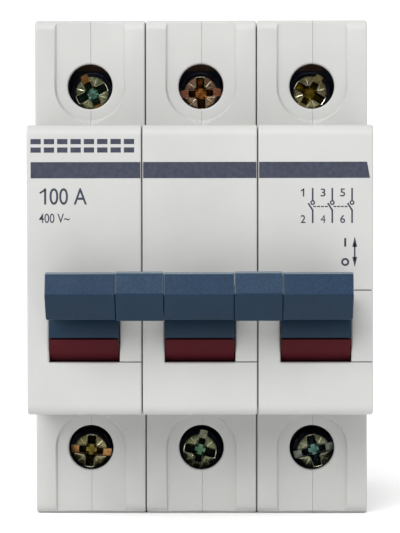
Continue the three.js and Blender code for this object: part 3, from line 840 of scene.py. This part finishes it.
def screw(pole, end):
    node = f"pole{pole}_{end}_screw"
    low, high = BOX[node]
    x, z = (low.x + high.x) / 2, (low.z + high.z) / 2
    top, under, tip = low.y, low.y + HEAD_DEPTH, high.y
    head = [(radius, top + depth) for radius, depth in HEAD_PROFILE]
    head += [(HEAD_RADIUS, under - 0.15), (3.25, under), (2.3, under)]
    thread = []
    for i in range(int(tip - 0.9 - under)):
        y = under + 0.25 + i
        thread += [(THREAD_ROOT, y + 0.1), (THREAD_CREST, y + 0.45)]
        thread += [(THREAD_CREST, y + 0.55), (THREAD_ROOT, y + 0.9)]
    thread += [(THREAD_ROOT, tip - 0.5), (1.5, tip), (0, tip)]
    obj = new_object(f"{node}_turned", lathe(head + thread, "Y", (x, z), 64))
    angle = SLOT_DEGREES[end][pole - 1]
    cutters = [(arm_cutter(top, LONG_SLOT), 0), (arm_cutter(top, CROSS), 0)]
    cutters += [(arm_cutter(top, CROSS), 90)]
    cutters += [(tick_cutter(top), 45 + 90 * k) for k in range(4)]
    tools = [new_object("recess", turned(bm, angle + a, x, z)) for bm, a in cutters]
    cone = [(0, top - 0.5), (1.3, top - 0.5), (1.2, top + 0.3), (0.5, top + 2.0), (0, top + 2.15)]
    tools.append(new_object("cone", lathe(cone, "Y", (x, z), 32)))
    boolean(obj, tools)
    tidy(obj)
    break_edges(obj, 0.08, 50)
    soften(obj, 20)
    finish_piece(obj, f"{end}_screw_{pole}", ZINC[end, pole]["face"], "zinc", node)
    for zone in ("shaded_arm", "core", "end"):
        obj.data.materials.append(ZINC[end, pole][zone])
    obj.data.materials.append(SCREW_EDGE_HIGHLIGHT)
    obj.data.materials.append(SCREW_SHOULDER_SHADE)
    for face in obj.data.polygons:
        c = face.center / MM
        face.material_index = screw_zone(math.hypot(c.x - x, c.z - z), c.y - top, -face.normal.y)
    return obj


def screw_zone(reach, depth, facing):
    """Which of a screw's materials a face has: by its distance out, its depth and its slope. The
    top edges get a painted highlight, the sloping rim and the cross recess painted shade.
    """
    FACE, SHADED_ARM_FLOOR, CORE, SLOT_END, EDGE_HIGHLIGHT, SHADED_SHOULDER_RING = range(6)
    if depth < 0.3 and reach < 2.82:
        return FACE if facing > 0.985 else EDGE_HIGHLIGHT
    if 0.9 < depth < 1.3 and 1.6 < reach < 3.3 and facing > 0.9:
        return SLOT_END
    if depth < 2.3 and reach < 0.95:
        return CORE
    if depth < 2.3 and reach < 2.66:
        return SHADED_ARM_FLOOR
    return SHADED_SHOULDER_RING if depth < 1.6 else FACE


# ------------------------------------------------------------------ clamps and rivets


def clamp(pole, end):
    """A folded steel loop: rounded corners, a threaded front wall and a ribbed back wall."""
    node = f"pole{pole}_{end}_clamp"
    low, high = BOX[node]
    x = (low.x + high.x) / 2

    def rings(x0, x1, y0, y1, radius, z0, z1):
        points = rounded([(x0, y0, radius), (x1, y0, radius), (x1, y1, radius), (x0, y1, radius)])
        return [[(a, b, z) for a, b in points] for z in (z0, z1)]

    bm = loft(rings(low.x, high.x, low.y, high.y, 1.3, low.z, high.z))
    obj = new_object(f"{node}_pressing", bm)
    wall, front, rear = 1.4, 2.5, 1.8
    sides, faces = (low.x + wall, high.x - wall), (low.y + front, high.y - rear)
    inner = rings(*sides, *faces, 0.5, low.z - 1, high.z + 1)
    hole = [(0, low.y - 1), (3.0, low.y - 1), (3.0, low.y), (2.6, low.y + 0.4)]
    hole += [(2.6, low.y + 3), (0, low.y + 3)]
    tools = [new_object("inner", loft(inner))]
    z_mid = (low.z + high.z) / 2
    tools.append(new_object("thread", lathe(hole, "Y", (x, z_mid), 32)))
    for i in range(-2, 3):
        z = z_mid + i * 1.4
        groove = [(high.y - 2, z - 0.35), (high.y - 1.5, z), (high.y - 2, z + 0.35)]
        tools.append(new_object("rib", prism(groove, low.x + 1.5, high.x - 1.5)))
    boolean(obj, tools)
    tidy(obj)
    break_edges(obj, 0.12, 50)
    soften(obj)
    return finish_piece(obj, f"{end}_clamp_{pole}", CLAMP_SHADE_STEEL, "spring_steel", node)


def rivet(i):
    """A tubular rivet: its heads are rolled over into a shallow dish."""
    node = f"housing_rivet_{i}"
    low, high = BOX[node]

    def head(x, way):
        return [
            (0, x + way * 0.34),
            (1.0, x + way * 0.34),
            (1.35, x + way * 0.1),
            (1.8, x),
            (2.3, x + way * 0.12),
            (2.58, x + way * 0.36),
            (2.55, x + way * 0.58),
            (1.4, x + way * 0.6),
        ]

    profile = head(low.x, 1) + list(reversed(head(high.x, -1)))
    obj = new_object(f"{node}_set", lathe(profile, "X", RIVETS[i - 1], 40))
    soften(obj)
    return finish_piece(obj, "housing", STEEL, "spring_steel", node)


# ------------------------------------------------------------------ springs, links, braids


def sweep(points, radius, sides=8):
    """A round wire through points (mm), with flat ends."""
    rings = []
    normal = None
    path = [Vector(p) for p in points]
    for i, at in enumerate(path):
        ahead = path[min(i + 1, len(path) - 1)] - path[max(i - 1, 0)]
        ahead.normalize()
        if normal is None:
            normal = ahead.orthogonal()
        normal = (normal - ahead * normal.dot(ahead)).normalized()
        other = ahead.cross(normal)
        ring = []
        for k in range(sides):
            t = 2 * math.pi * k / sides
            ring.append(tuple(at + (normal * math.cos(t) + other * math.sin(t)) * radius))
        rings.append(ring)
    return loft(rings)


def coil(node, centre, radius, x0, x1, turns):
    """A torsion spring along X, with a straight leg back from each end."""
    leg, wire = 2.6, 0.25
    points = []
    steps = int(turns * 28)
    for i in range(steps + 1):
        angle = math.pi / 2 + 2 * math.pi * turns * i / steps
        x = x0 + (x1 - x0) * i / steps
        points.append((x, centre.y + radius * math.cos(angle), centre.z + radius * math.sin(angle)))
    first, last = points[0], points[-1]
    points = [(first[0], first[1] + leg, first[2])] + points + [(last[0], last[1] + leg, last[2])]
    obj = new_object(f"{node}_wire", sweep(points, wire))
    return soften(obj, 50)


def handle_spring(pole):
    node = f"pole{pole}_handle_spring"
    xc = CENTRE[pole]
    obj = coil(node, PIVOT, 2.2, xc - 6.9, xc - 5.7, 1.5)
    return finish_piece(obj, "handle", STEEL, "spring_steel", node)


def contact_spring(pole):
    node = f"pole{pole}_contact_spring"
    xc = CENTRE[pole]
    obj = coil(node, CARRIER, 3.4, xc - 7.0, xc - 5.2, 2.5)
    return finish_piece(obj, f"contact_{pole}", STEEL, "spring_steel", node)


def drive_link(pole):
    """A wire with both ends bent in."""
    node = f"pole{pole}_drive_link"
    low, high = BOX[node]
    half, bend = 0.6, 0.9
    y0, y1, z = low.y + half, high.y - half, (low.z + high.z) / 2
    x = high.x - half
    points = [(low.x, y0, z), (x - bend, y0, z)]
    for a, b in arc((x - bend, y0 + bend), bend, -90, 0, 6)[1:]:
        points.append((a, b, z))
    for a, b in arc((x - bend, y1 - bend), bend, 0, 90, 6):
        points.append((a, b, z))
    points.append((low.x, y1, z))
    obj = new_object(f"{node}_wire", sweep(points, 0.58, 10))
    soften(obj, 50)
    return finish_piece(obj, f"drive_link_{pole}", STEEL, "spring_steel", node)


# (y, z) from the load bar up to the blade
BRAID_ROUTE = [
    (-11, -18.4),
    (-11, -15),
    (-9.6, -8.5),
    (-10.2, -2.5),
    (-13.6, 2),
    (-17.4, 3.6),
    (-20.1, 2.7),
    (-20.4, 1),
]


def spline(points, per=6):
    """A Catmull-Rom curve through points, as vectors."""
    out = []
    padded = [points[0]] + points + [points[-1]]
    for a, b, c, d in zip(padded, padded[1:], padded[2:], padded[3:]):
        a, b, c, d = (Vector(p) for p in (a, b, c, d))
        for i in range(per):
            t = i / per
            square, cube = 2 * a - 5 * b + 4 * c - d, 3 * b - a - 3 * c + d
            out.append(0.5 * (2 * b + (c - a) * t + square * t**2 + cube * t**3))
    out.append(Vector(points[-1]))
    return out


def braid(pole):
    node = f"pole{pole}_flexible_braid"
    xc = CENTRE[pole]
    path = spline(BRAID_ROUTE)
    a, b, r = 2.4, 0.48, 0.3
    section = rounded([(-a, -b, r), (a, -b, r), (a, b, r), (-a, b, r)], 2)
    rings = []
    for i, at in enumerate(path):
        ahead = (path[min(i + 1, len(path) - 1)] - path[max(i - 1, 0)]).normalized()
        side = Vector((-ahead.y, ahead.x))
        rings.append([(xc + a, at.x + side.x * b, at.y + side.y * b) for a, b in section])
    obj = new_object(f"{node}_strap", loft(rings))
    soften(obj, 50)
    obj.data.materials.append(BRAID)
    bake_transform(obj)
    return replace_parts(obj, node)


def keep(node, material, width=0.12):
    """A CAD node whose shape is right: its flats are merged and its edges are broken."""
    obj = frame["nodes"][node]
    obj.data.materials.clear()
    obj.data.materials.append(material)
    weld = obj.modifiers.new("weld", "WELD")
    weld.merge_threshold = WELD
    flats = obj.modifiers.new("flats", "DECIMATE")
    flats.decimate_type, flats.angle_limit = "DISSOLVE", math.radians(0.5)
    edge = obj.modifiers.new("edge", "BEVEL")
    edge.width, edge.segments = width * MM, 2
    edge.limit_method, edge.angle_limit = "ANGLE", math.radians(35)
    edge.use_clamp_overlap = True
    obj.data.polygons.foreach_set("use_smooth", [True] * len(obj.data.polygons))
    normals = obj.modifiers.new("normals", "WEIGHTED_NORMAL")
    normals.keep_sharp = False
    return obj


# ------------------------------------------------------------------ printed marks


def ink_piece(name, bm):
    obj = new_object(name, bm)
    return finish_piece(obj, "housing", INK, "housing")


INK_BACK, INK_FRONT = 0.002, 0.012  # how far the print stands off the nose
SEAM_MARGIN = 0.14


def flat(points):
    """A thin printed patch on the nose from an (x, z) outline."""
    return loft([[(x, NOSE_FRONT - d, z) for x, z in points] for d in (INK_BACK, INK_FRONT)])


def merge(meshes):
    """Several closed bodies as one mesh."""
    out = bmesh.new()
    for bm in meshes:
        mesh = bpy.data.meshes.new("part")
        bm.to_mesh(mesh)
        bm.free()
        out.from_mesh(mesh)
        bpy.data.meshes.remove(mesh)
    return out


def stroke(x0, z0, x1, z1, width):
    """A printed line."""
    a, b = Vector((x0, z0)), Vector((x1, z1))
    side = (b - a).orthogonal().normalized() * width / 2
    return flat([tuple(a + side), tuple(b + side), tuple(b - side), tuple(a - side)])


def hoop(x, z, radius, width, count=32):
    """A printed circle."""
    outer = arc((x, z), radius + width / 2, 0, 360, count)[:-1]
    inner = arc((x, z), radius - width / 2, 0, 360, count)[:-1]
    bm = bmesh.new()
    rings = []
    corners = ((outer, INK_BACK), (outer, INK_FRONT), (inner, INK_FRONT), (inner, INK_BACK))
    for points, d in corners:
        rings.append([bm.verts.new(Vector((a, NOSE_FRONT - d, b)) * MM) for a, b in points])
    for a, b in zip(rings, rings[1:] + rings[:1]):
        for i in range(count):
            j = (i + 1) % count
            bm.faces.new((a[i], a[j], b[j], b[i]))
    bmesh.ops.recalc_face_normals(bm, faces=bm.faces)
    return bm


def lettering(text, x0, x1, z0, z1, weight=0.012):
    """Plain figures fitted to a rectangle on the nose."""
    curve = bpy.data.curves.new("figures", "FONT")
    curve.body = text
    curve.offset = weight
    curve.extrude = 0.5
    obj = bpy.data.objects.new("figures", curve)
    bpy.context.scene.collection.objects.link(obj)
    bpy.context.view_layer.update()
    graph = bpy.context.evaluated_depsgraph_get()
    mesh = bpy.data.meshes.new_from_object(obj.evaluated_get(graph))
    bpy.data.objects.remove(obj)
    bpy.data.curves.remove(curve)
    bm = bmesh.new()
    bm.from_mesh(mesh)
    bpy.data.meshes.remove(mesh)
    bmesh.ops.remove_doubles(bm, verts=bm.verts, dist=1e-5)
    xs = [v.co.x for v in bm.verts]
    ys = [v.co.y for v in bm.verts]
    for v in bm.verts:
        x = x0 + (v.co.x - min(xs)) / (max(xs) - min(xs)) * (x1 - x0)
        z = z0 + (v.co.y - min(ys)) / (max(ys) - min(ys)) * (z1 - z0)
        depth = INK_FRONT if v.co.z > 0 else INK_BACK
        v.co = Vector((x, NOSE_FRONT - depth, z)) * MM
    bmesh.ops.recalc_face_normals(bm, faces=bm.faces)
    return bm


def figure_one(x, z, height, width):
    """A plain figure 1: an upright with a short flag at its top left."""
    top = z + height
    upright = stroke(x, z, x, top, width)
    start, end = (x - 0.34 * height, top - 0.3 * height), (x + 0.04, top - 0.07 * height)
    return [upright, stroke(*start, *end, width * 0.85)]


def print_dashes(left):
    """A neutral row of double dashes where a name would be."""
    dashes = []
    for i in range(8):
        x = left + 0.65 + 2.06 * i
        for z in (18.2, 19.5):
            dashes.append(flat([(x, z), (x + 1.6, z), (x + 1.6, z + 0.8), (x, z + 0.8)]))
    ink_piece("print_bar", merge(dashes))


def print_band(left, right):
    """The band runs over the three poles and breaks at the seams."""
    low, high, reach = 14.24, 16.74, HALF - SEAM_MARGIN
    ends = {
        1: (left + 0.66, CENTRE[1] + reach, 0),
        2: (CENTRE[2] - reach, CENTRE[2] + reach, 0),
        3: (CENTRE[3] - reach, right - 0.98, 0.45),
    }
    for pole, (x0, x1, slant) in ends.items():
        points = [(x0, low), (x1 + slant, low), (x1, high), (x0, high)]
        ink_piece(f"print_band_{pole}", flat(points))


def print_ratings(left):
    current = [lettering("00 A", left + 3.57, left + 9.36, 10.16, 12.71, 0.006)]
    current += figure_one(left + 2.9, 10.2, 2.48, 0.33)
    ink_piece("print_current", merge(current))
    ink_piece("print_voltage", lettering("400 V~", left + 1.94, left + 6.69, 7.34, 8.8, 0.008))


def print_terminals():
    half, height = 0.38, 1.24
    for i, x in enumerate((15.93, 19.01, 22.04)):
        for row, z in ((1, 11.37), (2, 7.29)):
            number = 2 * i + row
            if number == 1:
                figure = merge(figure_one(x + 0.08, z, height, 0.22))
            else:
                weight = 0.0 if number == 4 else 0.012
                figure = lettering(str(number), x - half, x + half, z, z + height, weight)
            ink_piece(f"print_terminal_{number}", figure)


def print_symbol():
    """Three linked contacts in a row, with circles at their fixed ends."""
    line = 0.26
    marks = []
    for x in (17.42, 20.44, 23.49):
        marks.append(stroke(x, 12.69, x, 10.8, line))
        marks.append(hoop(x, 10.44, 0.27, 0.22, 24))
        marks.append(stroke(x - 0.69, 10.36, x + 0.04, 9.2, line))
        marks.append(stroke(x, 9.3, x, 7.29, line))
    for start, end in ((17.5, 19.9), (20.6, 22.9)):
        for i in range(4):
            x = start + (end - start) * i / 4
            marks.append(stroke(x, 9.84, x + 0.46, 9.84, 0.19))
    ink_piece("print_symbol", merge(marks))


def print_positions():
    """I and O, with a two-headed arrow beside them."""
    x = 22.43
    signs = [stroke(x, 3.64, x, 4.96, 0.32), hoop(x, 1.27, 0.47, 0.3)]
    ink_piece("print_positions", merge(signs))
    x = 23.9
    arrow = [stroke(x, 1.5, x, 4.2, 0.24)]
    for tip, base in ((5.23, 3.6), (0.46, 2.05)):
        arrow.append(flat([(x - 0.38, base), (x + 0.38, base), (x, tip)]))
    ink_piece("print_arrow", merge(arrow))


def printing():
    left, right = CENTRE[1] - HALF, CENTRE[3] + HALF
    print_dashes(left)
    print_band(left, right)
    print_ratings(left)
    print_terminals()
    print_symbol()
    print_positions()


# ------------------------------------------------------------------ assembly

for p in POLES:
    shell(p, "base")
    shell(p, "cover")
    lever(p)
    indicator(p)
    handle_spring(p)
    contact_spring(p)
    drive_link(p)
    braid(p)
    for end in ("line", "load"):
        screw(p, end)
        clamp(p, end)
    keep(f"pole{p}_line_bar", COPPER)
    keep(f"pole{p}_load_bar", COPPER)
    keep(f"pole{p}_contact_blade", COPPER)
    keep(f"pole{p}_contact_carrier", CARRIER_MAT, 0.15)
    keep(f"pole{p}_rail_clip", CLIP, 0.2)
for i in (1, 2):
    coupler(i)
keep("lever_tie_rod", STEEL, 0.1)
for i in range(1, 5):
    rivet(i)
printing()

# ------------------------------------------------------------------ stage, light, camera


def floor():
    """White paper under the body's foot."""
    bm = bmesh.new()
    bmesh.ops.create_grid(bm, x_segments=4, y_segments=4, size=3.0)
    bmesh.ops.translate(bm, verts=bm.verts, vec=(0, 0, -BODY_HALF * MM))
    obj = new_object("floor", bm)
    s = Shader("floor_paper", (0.97, 0.97, 0.97), 0.9, specular=0.1)
    tone = s.ramp(s.noise(40.0, 2.0), [(0.3, (0.96, 0.96, 0.96)), (0.7, (0.98, 0.98, 0.98))])
    obj.data.materials.append(s.finish(color=tone))


def world():
    """White behind the object and overhead, greyer low down on the camera's side."""
    made = bpy.data.worlds.new("studio")
    made.use_nodes = True
    tree = made.node_tree
    back = tree.nodes["Background"]
    back.inputs["Strength"].default_value = 1.0
    place = tree.nodes.new("ShaderNodeTexCoord")
    split = tree.nodes.new("ShaderNodeSeparateXYZ")
    ramp = tree.nodes.new("ShaderNodeMapRange")
    ramp.inputs["From Min"].default_value = -0.6
    ramp.inputs["From Max"].default_value = 0.25
    ramp.inputs["To Min"].default_value = 0.2
    ramp.inputs["To Max"].default_value = 1.15
    lean = tree.nodes.new("ShaderNodeMath")
    lean.operation = "MULTIPLY_ADD"
    lean.inputs[1].default_value = 0.8
    depth = tree.nodes.new("ShaderNodeMath")
    depth.operation = "MULTIPLY"
    depth.inputs[1].default_value = 0.6
    tree.links.new(place.outputs["Generated"], split.inputs["Vector"])
    tree.links.new(split.outputs["Y"], depth.inputs[0])
    tree.links.new(split.outputs["Z"], lean.inputs[0])
    tree.links.new(depth.outputs[0], lean.inputs[2])
    tree.links.new(lean.outputs[0], ramp.inputs["Value"])
    tree.links.new(ramp.outputs["Result"], back.inputs["Color"])
    bpy.context.scene.world = made


def soft_sun(elevation, azimuth, angle, strength):
    """A big even source far away; azimuth is to the camera's left."""
    light = bpy.data.lights.new("key", "SUN")
    light.energy = strength
    light.angle = math.radians(angle)
    obj = bpy.data.objects.new("key", light)
    bpy.context.scene.collection.objects.link(obj)
    up, side = math.radians(elevation), math.radians(azimuth)
    source = Vector((-math.cos(up) * math.sin(side), -math.cos(up) * math.cos(side), math.sin(up)))
    obj.rotation_euler = (-source).to_track_quat("-Z", "Y").to_euler()


def camera():
    data = bpy.data.cameras.new("camera")
    data.lens, data.sensor_width = 157.414, 36.0
    data.clip_start, data.clip_end = 0.01, 20
    obj = bpy.data.objects.new("camera", data)
    bpy.context.scene.collection.objects.link(obj)
    right = Vector((0.99991751, 0.01276459, -0.00142887))
    up = Vector((0.00107865, 0.02740193, 0.99962391))
    back = Vector((0.01279895, -0.999543, 0.0273859))
    turn = Matrix((right, up, back)).transposed().to_4x4()
    obj.matrix_world = Matrix.Translation(Vector((4.629, -420.293, 10.455)) * MM) @ turn
    bpy.context.scene.camera = obj


floor()
world()
camera()
soft_sun(elevation=34, azimuth=24, angle=42, strength=2.75)
bpy.context.scene.view_settings.view_transform = "Standard"
bpy.context.scene.view_settings.look = "None"
